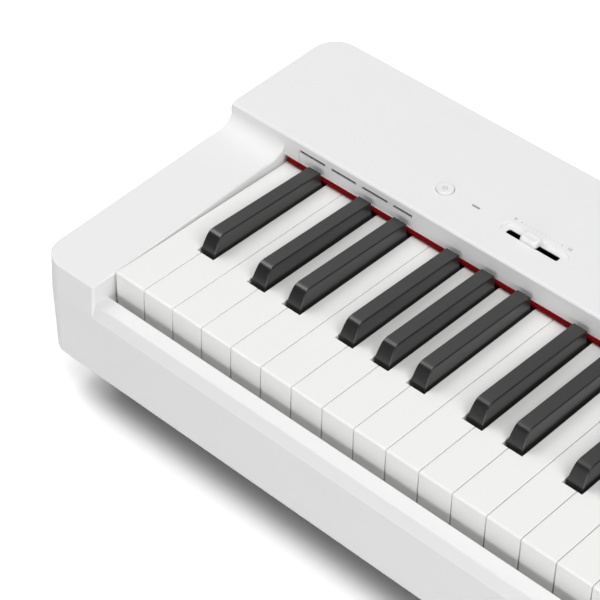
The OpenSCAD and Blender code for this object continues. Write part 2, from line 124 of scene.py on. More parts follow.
def stretched_noise(group, scale, detail, stretch, distortion=0.0):
    """Noise in object coordinates, drawn out along X by a share of its scale."""
    place = group.nodes.new("ShaderNodeTexCoord")
    mapping = group.nodes.new("ShaderNodeMapping")
    mapping.inputs["Scale"].default_value = (stretch, 1, 1)
    noise = group.nodes.new("ShaderNodeTexNoise")
    noise.inputs["Detail"].default_value = detail
    noise.inputs["Distortion"].default_value = distortion
    group.links.new(place.outputs["Object"], mapping.inputs["Vector"])
    group.links.new(mapping.outputs[0], noise.inputs["Vector"])
    if isinstance(scale, (int, float)):
        noise.inputs["Scale"].default_value = scale
    else:
        group.links.new(scale, noise.inputs["Scale"])
    return noise.outputs["Fac"]


def bumped(group, height, strength, distance):
    """A normal that follows a height."""
    bump = group.nodes.new("ShaderNodeBump")
    bump.inputs["Distance"].default_value = distance
    group.links.new(strength, bump.inputs["Strength"])
    group.links.new(height, bump.inputs["Height"])
    return bump.outputs["Normal"]


def moulded_grain():
    """Fine spark-eroded grain of a moulded surface, with slow drifts of tone and gloss."""
    group, entry, result = node_group("moulded_grain", [
        ("Color", "Color", (0.8, 0.8, 0.8, 1)), ("Roughness", "Float", 0.5),
        ("Grain Scale", "Float", 2500.0), ("Grain Height", "Float", 0.1),
        ("Tone Drift", "Float", 0.02), ("Gloss Drift", "Float", 0.05)],
        [("Color", "Color"), ("Roughness", "Float"), ("Normal", "Vector")])
    given, links = entry.outputs, group.links
    grain = stretched_noise(group, given["Grain Scale"], 3, 1)
    drift = stretched_noise(group, 23, 4, 1)
    links.new(bumped(group, grain, given["Grain Height"], 0.0001), result.inputs["Normal"])
    centred = math_step(group, "SUBTRACT", drift, 0.5)
    gloss = math_step(group, "MULTIPLY_ADD", centred, given["Gloss Drift"], given["Roughness"])
    links.new(gloss, result.inputs["Roughness"])
    scaled = group.nodes.new("ShaderNodeVectorMath")
    scaled.operation = "SCALE"
    links.new(given["Color"], scaled.inputs[0])
    links.new(math_step(group, "MULTIPLY_ADD", centred, given["Tone Drift"], 1),
              scaled.inputs["Scale"])
    links.new(scaled.outputs[0], result.inputs["Color"])
    return group


def pressed_fibres():
    """Short tangled fibres of felt: a height for the nap and two tones of the dye."""
    group, entry, result = node_group("pressed_fibres", [
        ("Light", "Color", (0.5, 0.0, 0.02, 1)), ("Dark", "Color", (0.2, 0.0, 0.01, 1)),
        ("Fibre Scale", "Float", 1500.0), ("Nap", "Float", 0.6)],
        [("Color", "Color"), ("Normal", "Vector")])
    given, links = entry.outputs, group.links
    fibre = stretched_noise(group, given["Fibre Scale"], 6, 0.35, 1.5)
    dye = group.nodes.new("ShaderNodeMix")
    dye.data_type = "RGBA"
    links.new(fibre, dye.inputs["Factor"])
    links.new(given["Dark"], dye.inputs["A"])
    links.new(given["Light"], dye.inputs["B"])
    links.new(dye.outputs["Result"], result.inputs["Color"])
    links.new(bumped(group, fibre, given["Nap"], 0.0004), result.inputs["Normal"])
    return group


def brushed_lines():
    """Rolling or turning marks of bare metal, drawn out along X."""
    group, entry, result = node_group("brushed_lines", [
        ("Color", "Color", (0.6, 0.6, 0.6, 1)), ("Roughness", "Float", 0.35),
        ("Line Scale", "Float", 900.0), ("Depth", "Float", 0.15)],
        [("Color", "Color"), ("Roughness", "Float"), ("Normal", "Vector")])
    given, links = entry.outputs, group.links
    lines = stretched_noise(group, given["Line Scale"], 5, 0.04)
    links.new(bumped(group, lines, given["Depth"], 0.0001), result.inputs["Normal"])
    links.new(math_step(group, "MULTIPLY_ADD", lines, 0.25, given["Roughness"]),
              result.inputs["Roughness"])
    links.new(given["Color"], result.inputs["Color"])
    return group


GRAIN = moulded_grain()
FIBRES = pressed_fibres()
BRUSHED = brushed_lines()


def new_material(name):
    """A material with its Principled shader."""
    material = bpy.data.materials.new(name)
    material.use_nodes = True
    return material, material.node_tree, material.node_tree.nodes["Principled BSDF"]


def with_effect(name, group, values, sockets):
    """A material whose shader takes some sockets from a shared effect."""
    material, tree, shader = new_material(name)
    effect = tree.nodes.new("ShaderNodeGroup")
    effect.node_tree = group
    for socket, value in values.items():
        effect.inputs[socket].default_value = value
    for source, target in sockets:
        tree.links.new(effect.outputs[source], shader.inputs[target])
    return material, shader


COLOR_LINK = ("Color", "Base Color")
ROUGH_LINK = ("Roughness", "Roughness")
NORMAL_LINK = ("Normal", "Normal")


def moulded(name, colour, rough, grain=0.15, scale=2500.0, tone=0.02, specular=0.5):
    """Moulded plastic, rubber or paint."""
    material, shader = with_effect(name, GRAIN, {
        "Color": (*colour, 1), "Roughness": rough, "Grain Scale": scale, "Grain Height": grain,
        "Tone Drift": tone, "Gloss Drift": 0.06}, (COLOR_LINK, ROUGH_LINK, NORMAL_LINK))
    shader.inputs["Specular IOR Level"].default_value = specular
    return material


def felted(name, light, dark):
    """Wool felt with a short nap."""
    material, shader = with_effect(name, FIBRES, {"Light": (*light, 1), "Dark": (*dark, 1)},
                                   (COLOR_LINK, NORMAL_LINK))
    shader.inputs["Roughness"].default_value = 0.95
    shader.inputs["Specular IOR Level"].default_value = 0.1
    return material


def metallic(name, colour, rough, depth=0.15):
    """Bare or plated metal."""
    material, shader = with_effect(name, BRUSHED, {
        "Color": (*colour, 1), "Roughness": rough, "Depth": depth},
        (COLOR_LINK, ROUGH_LINK, NORMAL_LINK))
    shader.inputs["Metallic"].default_value = 1
    return material


LOOKS = {
    "case_white": moulded("case_white", (0.80, 0.80, 0.80), 0.62, grain=0.25, specular=0.3),
    "button_white": moulded("button_white", (0.81, 0.81, 0.81), 0.5, grain=0.1, specular=0.35),
    "key_white": moulded("key_white", (0.85, 0.85, 0.833), 0.3, grain=0.05, specular=0.4),
    "key_black": moulded("key_black", (0.014, 0.014, 0.014), 0.3, grain=0.3, scale=3200.0,
                         tone=0.1, specular=0.8),
    "red_felt": felted("red_felt", (0.29, 0.0, 0.003), (0.11, 0.0, 0.0015)),
    "tray_grey": moulded("tray_grey", (0.03, 0.03, 0.032), 0.7, grain=0.5, scale=1500.0),
    "foot_rubber": moulded("foot_rubber", (0.02, 0.02, 0.02), 0.8, grain=0.6, scale=1200.0),
    "screw_steel": metallic("screw_steel", (0.5, 0.5, 0.52), 0.3),
    "insert_brass": metallic("insert_brass", (0.72, 0.53, 0.24), 0.3),
    "frame_steel": metallic("frame_steel", (0.55, 0.56, 0.58), 0.4),
    "rod_steel": metallic("rod_steel", (0.7, 0.7, 0.72), 0.15, depth=0.05),
    "stop_felt": felted("stop_felt", (0.1, 0.28, 0.12), (0.03, 0.12, 0.05)),
    "hammer_iron": moulded("hammer_iron", (0.12, 0.12, 0.125), 0.6, grain=0.8, scale=700.0),
    "circuit_board": moulded("circuit_board", (0.02, 0.16, 0.06), 0.35, grain=0.3, scale=500.0,
                             tone=0.3),
    "contact_rubber": moulded("contact_rubber", (0.1, 0.1, 0.11), 0.75),
    "speaker_black": moulded("speaker_black", (0.02, 0.02, 0.02), 0.5, grain=0.4),
    "lamp_lens": moulded("lamp_lens", (0.33, 0.335, 0.34), 0.35, grain=0.05),
    "socket_black": moulded("socket_black", (0.015, 0.015, 0.015), 0.45),
    "usb_steel": metallic("usb_steel", (0.6, 0.6, 0.62), 0.25),
    "print_grey": moulded("print_grey", (0.22, 0.22, 0.225), 0.6, grain=0.05),
}

# ---------------------------------------------------------------- building helpers

EDGE_WEIGHT = "bevel_weight_edge"


def new_object(name, mesh):
    """An object at the origin that holds a mesh."""
    made = bpy.data.objects.new(name, mesh)
    bpy.context.scene.collection.objects.link(made)
    return made


def mesh_from(bm, name):
    """A mesh from a bmesh in millimetres, faces outwards."""
    bmesh.ops.remove_doubles(bm, verts=bm.verts, dist=0.0005)
    bmesh.ops.recalc_face_normals(bm, faces=bm.faces)
    mesh = bpy.data.meshes.new(name)
    bm.to_mesh(mesh)
    bm.free()
    return mesh


def evaluated(obj):
    """Applies an object's modifiers: its mesh becomes the evaluated one."""
    graph = bpy.context.evaluated_depsgraph_get()
    graph.update()
    made = bpy.data.meshes.new_from_object(obj.evaluated_get(graph))
    old = obj.data
    obj.modifiers.clear()
    obj.data = made
    bpy.data.meshes.remove(old)


def combine(obj, tool, operation):
    """Cuts, joins or intersects with a second solid, which is then gone."""
    step = obj.modifiers.new("solid", "BOOLEAN")
    step.operation = operation
    step.solver = "EXACT"
    step.object = tool
    evaluated(obj)
    bpy.data.objects.remove(tool)


def soften(obj, width, weight, segments):
    """Rounds the edges to which weight gives more than 0, by width times that."""
    mesh = obj.data
    bm = bmesh.new()
    bm.from_mesh(mesh)
    layer = bm.edges.layers.float.get(EDGE_WEIGHT) or bm.edges.layers.float.new(EDGE_WEIGHT)
    for edge in bm.edges:
        edge[layer] = max(0.0, min(1.0, weight(edge)))
    bm.to_mesh(mesh)
    bm.free()
    step = obj.modifiers.new("round", "BEVEL")
    step.limit_method = "WEIGHT"
    step.width = width
    step.segments = segments
    step.use_clamp_overlap = False
    step.miter_outer = "MITER_ARC"
    evaluated(obj)


def finish_piece(obj, body, look, replaced=(), sharp=32, weighted=True):
    """Scales a piece from millimetres, shades it and hands it to its body."""
    mesh = obj.data
    mesh.transform(Matrix.Scale(MM, 4))
    if EDGE_WEIGHT in mesh.attributes:
        mesh.attributes.remove(mesh.attributes[EDGE_WEIGHT])
    mesh.polygons.foreach_set("use_smooth", [True] * len(mesh.polygons))
    mesh.set_sharp_from_angle(angle=math.radians(sharp))
    mesh.materials.clear()
    mesh.materials.append(LOOKS[look])
    mesh.update()
    if weighted:
        step = obj.modifiers.new("shade", "WEIGHTED_NORMAL")
        step.keep_sharp = True
        evaluated(obj)
    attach(obj, body)
    if replaced:
        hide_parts(*replaced)


def add_tube(bm, rings):
    """Adds a closed skin through rings of points that all have the same number of points."""
    rows = [[bm.verts.new(p) for p in ring] for ring in rings]
    count = len(rows[0])
    for low, high in zip(rows, rows[1:]):
        for i in range(count):
            j = (i + 1) % count
            bm.faces.new((low[i], low[j], high[j], high[i]))
    bm.faces.new(rows[0])
    bm.faces.new(rows[-1])


def loft(rings):
    """A new bmesh with one such skin."""
    bm = bmesh.new()
    add_tube(bm, rings)
    return bm


def bar_along_x(name, outline, x0, x1):
    """A solid with a Y-Z outline between two places along the keyboard."""
    rings = [[(x, y, z) for y, z in outline] for x in (x0, x1)]
    return new_object(name, mesh_from(loft(rings), name))


def block(name, low, high):
    """A rectangular cutter."""
    (x0, y0, z0), (x1, y1, z1) = low, high
    return bar_along_x(name, [(y0, z0), (y1, z0), (y1, z1), (y0, z1)], x0, x1)


def round_ring(cx, cy, z, half_x, half_y, radius, steps=8):
    """A rounded rectangle or stadium in plan, counter-clockwise."""
    points = []
    for sx, sy, start in ((1, -1, -90), (1, 1, 0), (-1, 1, 90), (-1, -1, 180)):
        for i in range(steps + 1):
            a = math.radians(start + 90 * i / steps)
            points.append((cx + sx * (half_x - radius) + radius * math.cos(a),
                           cy + sy * (half_y - radius) + radius * math.sin(a), z))
    return points


def circle(cx, cy, radius, steps):
    """Points round a circle."""
    return [(cx + radius * math.cos(math.tau * i / steps),
             cy + radius * math.sin(math.tau * i / steps)) for i in range(steps)]


def disc_stack(cx, cy, levels, steps=48):
    """A turned solid: (radius, height) pairs from the bottom up."""
    return loft([[(x, y, z) for x, y in circle(cx, cy, r, steps)] for r, z in levels])


# ---------------------------------------------------------------- sizes from the frame

felt_high = box_mm("felt_strip")[1]
low_key_low, low_key_high = box_mm("key_a0")
port_low, port_high = box_mm("sound_ports")

HALF_W, HALF_D, PANEL_REAR_Z = box_mm("top_case")[1]
SKIRT_Z = box_mm("front_rail")[0][2]
PANEL_FALL = 4.0
KEY_TOP = low_key_high[2]
KEY_FRONT = low_key_low[1]
KEY_GAP = 0.7
PITCH = (box_mm("key_c8")[0][0] - box_mm("key_c1")[0][0]) / 49
KEY_LEFT = low_key_low[0] - KEY_GAP / 2
FASCIA_Y = felt_high[1] - 3
WELL_X = felt_high[0] + 0.3
FASCIA_LOW = felt_high[2] + 0.05


def panel_at(y):
    """Height of the sloping control panel at a place front to rear."""
    return PANEL_REAR_Z - PANEL_FALL * (HALF_D - y) / (HALF_D - FASCIA_Y)


def fy(y):
    """A place counted from the white keys' fronts."""
    return KEY_FRONT + y


def tz(z):
    """A height counted from the white keys' tops."""
    return KEY_TOP + z


# ---------------------------------------------------------------- white case

RAIL_TOP = (fy(-5.8), fy(-16), tz(-16))
CREASE = (fy(-18.4), tz(-25.7))
COVE_CENTRE = (130.0, 14.5)
COVE_SIZE = (17.0, 9.6)
COVE_POWER = 2 / 2.3
COVE_STEPS = 14
ARM_TOP = ((-30, -3.98), (126, 4.85))
PANEL_EDGE = 1.8
EDGE_STEPS = 6


def side_outline():
    """Arm top, cove and panel, seen from the end of the keyboard."""
    (cy, cz), (reach, depth) = COVE_CENTRE, COVE_SIZE
    line = [(fy(y), tz(z)) for y, z in ARM_TOP] + [(fy(cy), tz(cz - depth))]
    for i in range(1, COVE_STEPS):
        a = math.radians(-90 + 90 * i / COVE_STEPS)
        line.append((fy(cy + reach * math.cos(a) ** COVE_POWER),
                     tz(cz - depth * abs(math.sin(a)) ** COVE_POWER)))
    line.append((FASCIA_Y, tz(cz)))
    for i in range(EDGE_STEPS + 1):
        a = math.radians(180 - 90 * i / EDGE_STEPS)
        y = FASCIA_Y + PANEL_EDGE * (1 + math.cos(a))
        line.append((y, panel_at(y) - PANEL_EDGE * (1 - math.sin(a))))
    return line


CORNER_STEPS = 14
REAR_RADIUS = 18
# height, margins at the front, sides and rear, and radius of the front corners
WALL_RINGS = ((SKIRT_Z, 1.7, 3.0, 1.3, 14), (CREASE[1], 0.0, 0.9, 0.0, 17),
              (tz(-3), 1.6, 0.0, 0.4, 17), (PANEL_REAR_Z + 5, 3.4, 0.0, 2.1, 17))


def wall_ring(z, front, side, rear, front_radius):
    """The outer wall in plan, drawn in by a margin on each side."""
    points = []
    for sx, sy, radius, start in ((1, -1, front_radius, -90), (1, 1, REAR_RADIUS, 0),
                                  (-1, 1, REAR_RADIUS, 90), (-1, -1, front_radius, 180)):
        y_edge = HALF_D - rear if sy > 0 else HALF_D - front
        for i in range(CORNER_STEPS + 1):
            a = math.radians(start + 90 * i / CORNER_STEPS)
            points.append((sx * (HALF_W - side - radius) + radius * math.cos(a),
                           sy * (y_edge - radius) + radius * math.sin(a), z))
    return points


CASE_ROUND = 3.0
RAIL_SHARE = 0.26
CREASE_SHARE = 0.5
ARM_SHARE = 0.45
ARM_FRONT_SHARE = 0.95
OUTER_SHARE = 0.3
COVE_FADE = 5
ARM_FRONT_FADE = 9
LEAST_BEND = 32
EDGE_BAND = 1.2


def clamped(value):
    """A value held between 0 and 1."""
    return max(0.0, min(1.0, value))


def case_rounding(line):
    """How much each edge of the case is rounded, as a share of CASE_ROUND."""
    ys, zs = zip(*line)

    def level_at(edge, z):
        return all(abs(v.co.z - z) < 0.01 for v in edge.verts)

    def rounding(edge):
        if len(edge.link_faces) != 2:
            return 0
        a, b = (v.co for v in edge.verts)
        middle = (a + b) / 2
        outer = abs(middle.x) > HALF_W - 6 or abs(middle.y) > HALF_D - 5
        if level_at(edge, SKIRT_Z):
            return 1 if outer else 0
        if abs(middle.x) < WELL_X + 0.1 and abs(a.x - b.x) > 50:
            if level_at(edge, RAIL_TOP[2]):
                return RAIL_SHARE
            if level_at(edge, CREASE[1]) and outer:
                return CREASE_SHARE
        if edge.calc_face_angle_signed(0) < math.radians(LEAST_BEND):
            return 0
        near_top = abs(middle.z - np.interp(middle.y, ys, zs)) < EDGE_BAND
        if all(abs(abs(v.co.x) - WELL_X) < 0.02 for v in edge.verts):
            if middle.y < fy(-14) and middle.z < tz(-5):
                return ARM_FRONT_SHARE * clamped((middle.z - CREASE[1]) / ARM_FRONT_FADE - 0.1)
            fade = clamped((FASCIA_Y - middle.y - 0.6) / COVE_FADE) if middle.y > fy(128) else 1
            return ARM_SHARE * fade if near_top else 0
        return OUTER_SHARE if outer and near_top else 0

    return rounding


BELOW = SKIRT_Z - 9
FADE_ROWS = (-17.5, -19, -20.5, -22, -23.5)


def make_case():
    """One white moulding: arms, rail, fascia and panel, with its main edges rounded."""
    line = side_outline()
    front = line[0][0]
    top = line + [(HALF_D + 10, panel_at(HALF_D + 10)), (HALF_D + 10, SKIRT_Z - 5),
                  (front, SKIRT_Z - 5)]
    walls = loft([wall_ring(*ring) for ring in WALL_RINGS])
    case = new_object("white_case", mesh_from(walls, "white_case"))
    combine(case, bar_along_x("profile", top, -HALF_W - 5, HALF_W + 5), "INTERSECT")
    inner_y, outer_y, rail_z = RAIL_TOP
    well = [(front - 5, CREASE[1]), CREASE, (outer_y, rail_z), (inner_y, rail_z),
            (inner_y, BELOW), (FASCIA_Y, BELOW), (FASCIA_Y, tz(COVE_CENTRE[1])),
            (fy(120), PANEL_REAR_Z + 9), (front - 5, PANEL_REAR_Z + 9)]
    combine(case, bar_along_x("well", well, -WELL_X, WELL_X), "DIFFERENCE")

    hollow = [(fy(-7), BELOW), (fy(-7), tz(-7)), (fy(126), tz(1.6)), (fy(158), tz(1.6)),
              (fy(158), BELOW)]
    for side in (-1, 1):
        x0, x1 = sorted((side * (WELL_X + 3), side * (HALF_W - 11)))
        combine(case, bar_along_x("arm_hollow", hollow, x0, x1), "DIFFERENCE")
    rear = [[(x, y, z) for x, y in (
        (-HALF_W + 9, FASCIA_Y + 3), (HALF_W - 9, FASCIA_Y + 3), (HALF_W - 9, HALF_D - 18),
        (HALF_W - 18, HALF_D - 8), (-HALF_W + 18, HALF_D - 8), (-HALF_W + 9, HALF_D - 18))]
        for z in (BELOW, panel_at(FASCIA_Y) - 3)]
    combine(case, new_object("rear_hollow", mesh_from(loft(rear), "rear_hollow")), "DIFFERENCE")
    combine(case, block("fascia_gap", (-WELL_X, FASCIA_Y - 3, BELOW),
                        (WELL_X, FASCIA_Y + 4, FASCIA_LOW)), "DIFFERENCE")
    cut_ports(case)
    cut_panel(case)
    cut_rear(case)
    slice_across(case, [tz(z) for z in FADE_ROWS])
    soften(case, CASE_ROUND, case_rounding(line), 4)
    finish_piece(case, "case", "case_white", ("top_case", "front_rail"))


def slice_across(obj, heights):
    """Adds level rows of vertices, so that a rounding can fade from row to row."""
    bm = bmesh.new()
    bm.from_mesh(obj.data)
    for z in heights:
        bmesh.ops.bisect_plane(bm, geom=bm.verts[:] + bm.edges[:] + bm.faces[:],
                               plane_co=(0, 0, z), plane_no=(0, 0, 1))
    bm.to_mesh(obj.data)
    bm.free()


def cut_ports(case):
    """Windows for the two sound ports."""
    for side in (-1, 1):
        x0, x1 = sorted((side * PORT_X[0], side * PORT_X[1]))
        combine(case, block("port", (x0, FASCIA_Y - 2, PORT_Z[0]), (x1, FASCIA_Y + 4, PORT_Z[1])),
                "DIFFERENCE")


PORT_X = (port_high[0] - 92.9, port_high[0] + 0.1)
PORT_Z = (port_low[2] - 0.1, port_high[2] + 0.1)

power_low, power_high = box_mm("power_button")
slider_low, slider_high = box_mm("volume_slider")
pot_low, pot_high = box_mm("slider_pot")
lamp_low, lamp_high = box_mm("power_lamp")
POWER_X, BUTTON_Y = ((power_low[k] + power_high[k]) / 2 for k in (0, 1))
PANEL_Z = panel_at(BUTTON_Y)
POWER_R = 5.5
FUNCTION_R = 4.0
BUTTON_RISE = power_high[2] - PANEL_Z
BUTTONS = [("power_button", POWER_X, POWER_R)]
for _name in ("function_button_%d" % number for number in (1, 2, 3, 4)):
    _low, _high = box_mm(_name)
    BUTTONS.append((_name, (_low[0] + _high[0]) / 2, FUNCTION_R))
SLOT_X, SLOT_Y = ((pot_low[k] + pot_high[k]) / 2 for k in (0, 1))
SLOT_HALF = (19.1, 2.1)
DISH_HALF = (24.6, 5.15)
DISH_Y = SLOT_Y + 1.65
DISH_DEPTH = 1.2
SLOT_LIP = 0.35


def cut_panel(case):
    """Button holes, the lamp's slit and the volume slot in its dish."""
    for _, x, r in BUTTONS:
        hole = disc_stack(x, BUTTON_Y, [
            (r + 0.3, PANEL_Z - 5), (r + 0.3, PANEL_Z - 0.35), (r + 0.42, PANEL_Z - 0.1),
            (r + 0.65, PANEL_Z + 0.02), (r + 0.65, PANEL_Z + 2)])
        combine(case, new_object("hole", mesh_from(hole, "hole")), "DIFFERENCE")
    rings = []
    for depth, margin in ((DISH_DEPTH, 0.95), (DISH_DEPTH - 0.08, 0.6), (DISH_DEPTH - 0.3, 0.4),
                          (0.3, 0.25), (0.1, 0.1), (-0.02, -0.15), (-2, -0.15)):
        rings.append(round_ring(SLOT_X, DISH_Y, PANEL_Z - depth, DISH_HALF[0] - margin,
                                DISH_HALF[1] - margin, DISH_HALF[1] - margin - 0.01, 12))
    combine(case, new_object("dish", mesh_from(loft(rings), "dish")), "DIFFERENCE")
    under = PANEL_Z - DISH_DEPTH - SLOT_LIP
    slot = loft([
        round_ring(SLOT_X, SLOT_Y, z, SLOT_HALF[0] + grow, SLOT_HALF[1] + grow, 1.2 + grow, 6)
        for z, grow in ((PANEL_Z - 6, 2.2), (under - 0.01, 2.2), (under, 0), (PANEL_Z + 3, 0))])
    combine(case, new_object("slot", mesh_from(slot, "slot")), "DIFFERENCE")
    combine(case, block("slit", (lamp_low[0] - 0.1, lamp_low[1] - 0.1, PANEL_Z - 5),
                        (lamp_high[0] + 0.1, lamp_high[1] + 0.1, PANEL_Z + 2)), "DIFFERENCE")


JACK_HOLE = 6.0
JACK_INSET = 8.0
REAR_DEPTH = 12


def cut_rear(case):
    """Openings for the sockets in the rear wall."""
    low, high = box_mm("usb_socket")
    grow = 0.1
    combine(case, block("usb", (low[0] - grow, HALF_D - REAR_DEPTH, low[2] - grow),
                        (high[0] + grow, HALF_D + 5, high[2] + grow)), "DIFFERENCE")
    for node in ("dc_inlet", "pedal_jack", "headphone_jacks"):
        low, high = box_mm(node)
        radius, centres = JACK_HOLE, [(low[0] + high[0]) / 2]
        if node == "dc_inlet":
            radius = (high[0] - low[0]) / 2 + 0.05
        if node == "headphone_jacks":
            centres = [low[0] + JACK_INSET, high[0] - JACK_INSET]
        for x in centres:
            hole = disc_stack(0, 0, [(radius, -REAR_DEPTH), (radius, 5)], 40)
            tool = new_object("jack", mesh_from(hole, "jack"))
            tool.data.transform(Matrix.Translation((x, HALF_D, (low[2] + high[2]) / 2))
                                @ Matrix.Rotation(math.radians(-90), 4, "X"))
            combine(case, tool, "DIFFERENCE")


# ---------------------------------------------------------------- sound ports


PORT_SLOTS = ((1, 21.8), (27, 47.1), (52.1, 72.6), (77.1, 92.2))


def make_sound_ports():
    """Two plates let into the fascia, each with four thin sound slots."""
    for side, word in ((-1, "left"), (1, "right")):
        x0, x1 = sorted((side * (PORT_X[0] + 0.1), side * (PORT_X[1] - 0.1)))
        plate = block("sound_port_" + word, (x0, FASCIA_Y + 0.35, PORT_Z[0] + 0.1),
                      (x1, FASCIA_Y + 1.2, PORT_Z[1] - 0.1))
        soften(plate, 0.25, lambda edge: all(v.co.y < FASCIA_Y + 0.4 for v in edge.verts), 2)
        for a, b in PORT_SLOTS:
            start = x0 if side < 0 else x1
            u0, u1 = sorted((start - side * a, start - side * b))
            combine(plate, block("cut", (u0, FASCIA_Y - 1, PORT_Z[1] - 2.2),
                                 (u1, FASCIA_Y + 5, PORT_Z[1] - 0.35)), "DIFFERENCE")
        finish_piece(plate, "case", "case_white", ("sound_ports",))
        # A black sheet behind each plate is painted shade: it stands in for the shade deep inside
        # the ports, so the slots look dark.
        shade_sheet = block("port_shade_sheet_" + word, (x0 + 0.5, FASCIA_Y + 1.25, PORT_Z[0] + 0.5),
                      (x1 - 0.5, FASCIA_Y + 2.4, PORT_Z[1] - 0.15))
        soften(shade_sheet, 0.3, lambda edge: 1, 1)
        finish_piece(shade_sheet, "case", "speaker_black", weighted=False)


# ---------------------------------------------------------------- keys

WHITE_DEGREES = (0, 2, 4, 5, 7, 9, 11)
NAMES = ("c", "cs", "d", "ds", "e", "f", "fs", "g", "gs", "a", "as", "b")
LANE_CE = 3 * PITCH / 5
LANE_FB = 4 * PITCH / 7
HEAD = 47.9
TAIL_END = 175.0
PIVOT_Y = 195.0
PIVOT_DROP = 14.0
LEVER_W = 9.0
LEVER_Z = (-15.5, -4)
BOSS_R = 6.0
ROD_BORE = 2.06


def degree(i):
    """Key i counted from the lowest note, as a step of the octave."""
    return (i + 9) % 12


def octave_left(i):
    """Left edge of the octave that key i is in."""
    return KEY_LEFT - 5 * PITCH + (i + 9) // 12 * 7 * PITCH


def lane(i):
    """Middle of the lane that key i has at the rear."""
    d = degree(i)
    if d < 5:
        return octave_left(i) + (d + 0.5) * LANE_CE
    return octave_left(i) + 3 * PITCH + (d - 4.5) * LANE_FB


def key_body(i):
    """The body that key i belongs to."""
    octave = (i + 9) // 12
    name = NAMES[degree(i)]
    if octave < 2 or octave == 8:
        return "key_%s%d" % (name, octave)
    return ("white_keys_%d" if degree(i) in WHITE_DEGREES else "black_keys_%d") % octave


def add_lever(bm, i):
    """The tail's lever and its boss with the bore for the rod."""
    ends = lane(i) - LEVER_W / 2, lane(i) + LEVER_W / 2
    y0, y1 = fy(TAIL_END - 1), fy(PIVOT_Y - 5)
    z0, z1 = (tz(z) for z in LEVER_Z)
    add_tube(bm, [[(x, y, z) for y, z in ((y0, z0), (y1, z0), (y1, z1), (y0, z1))] for x in ends])
    steps = 20
    loops = [[bm.verts.new((x, y, z)) for y, z in circle(fy(PIVOT_Y), tz(-PIVOT_DROP), r, steps)]
             for x, r in ((ends[0], ROD_BORE), (ends[0], BOSS_R), (ends[1], BOSS_R),
                          (ends[1], ROD_BORE))]
    for a, b in zip(loops, loops[1:] + loops[:1]):
        for k in range(steps):
            bm.faces.new((a[k], a[(k + 1) % steps], b[(k + 1) % steps], b[k]))


WHITE_EDGE = 0.65
SEEN_GAP = 0.4
WHITE_NOSE = 1.5
WHITE_WALL = 2.4
WHITE_DRAFT = 0.012
TAIL_LOW = -16
HEAD_LOW = -30


def white_key(i):
    """A white key: rounded nose, head, notched tail, hollow underside."""
    d = WHITE_DEGREES.index(degree(i))
    number = (i + 9) // 12 * 7 + d - 5
    group, width = (d, LANE_CE) if d < 3 else (d - 3, LANE_FB)
    left = KEY_LEFT + number * PITCH
    x0, x1 = left + SEEN_GAP / 2, left + PITCH - SEEN_GAP / 2
    t0 = x0 if group == 0 or i == 0 else left + 2 * group * width - group * PITCH
    t1 = x1 if d in (2, 6) or i == 87 else left + (2 * group + 1) * width - group * PITCH
    bm = bmesh.new()
    head = [(x0, 0), (x1, 0), (x1, HEAD)] + ([(t1, HEAD)] if t1 < x1 - 0.01 else [])
    rest = ([(t0, HEAD)] if t0 > x0 + 0.01 else []) + [(x0, HEAD)]
    outline = head + [(t1, TAIL_END), (t0, TAIL_END)] + rest
    top = [bm.verts.new((x, fy(y), tz(0))) for x, y in outline]
    low = [bm.verts.new((x, fy(y), tz(TAIL_LOW))) for x, y in outline]
    bm.faces.new(top)
    for k in range(len(outline)):
        j = (k + 1) % len(outline)
        bm.faces.new((top[k], top[j], low[j], low[k]))
    join, rejoin = len(head) - 1, len(head) + 2
    head_loop = low[:join + 1] + low[rejoin:]
    tail_face = bm.faces.new(low[join:rejoin + 1])
    deep = [bm.verts.new((v.co.x, v.co.y, tz(HEAD_LOW))) for v in head_loop]
    for k in range(len(head_loop)):
        j = (k + 1) % len(head_loop)
        bm.faces.new((head_loop[k], head_loop[j], deep[j], deep[k]))
    head_face = bm.faces.new(deep)
    bmesh.ops.recalc_face_normals(bm, faces=bm.faces)
    bm.normal_update()
    for face, up in ((head_face, 27.5), (tail_face, 13.0)):
        bmesh.ops.inset_region(bm, faces=[face], thickness=WHITE_WALL, use_even_offset=True)
        bmesh.ops.translate(bm, verts=face.verts, vec=(0, 0, up))
    bmesh.ops.recalc_face_normals(bm, faces=bm.faces)
    chosen = []
    for edge in bm.edges:
        a, b = (v.co for v in edge.verts)
        upper = abs(a.z - tz(0)) < 0.01 and abs(b.z - tz(0)) < 0.01
        front = a.y < fy(0.01) and b.y < fy(0.01) and abs(a.x - b.x) < 0.01
        if upper or front:
            chosen.append(edge)
    bmesh.ops.bevel(bm, geom=chosen, offset=WHITE_EDGE, segments=2, affect="EDGES", profile=0.5,
                    clamp_overlap=True)
    for y in (0.45, 0.7, 1.0, 1.5):
        bmesh.ops.bisect_plane(bm, geom=bm.verts[:] + bm.edges[:] + bm.faces[:],
                               plane_co=(0, fy(y), 0), plane_no=(0, 1, 0))
    middle = (x0 + x1) / 2
    for v in bm.verts:
        reach = v.co.y - fy(0)
        depth = max(0.0, tz(0) - v.co.z)
        if reach < WHITE_NOSE and depth < 1.0:
            drop = WHITE_NOSE - math.sqrt(max(0, WHITE_NOSE ** 2 - (WHITE_NOSE - reach) ** 2))
            v.co.z -= drop * (1 - depth)
        if v.co.y < fy(HEAD + 1):
            v.co.x -= (v.co.x - middle) / (x1 - middle) * WHITE_DRAFT * depth
    add_lever(bm, i)
    return bm


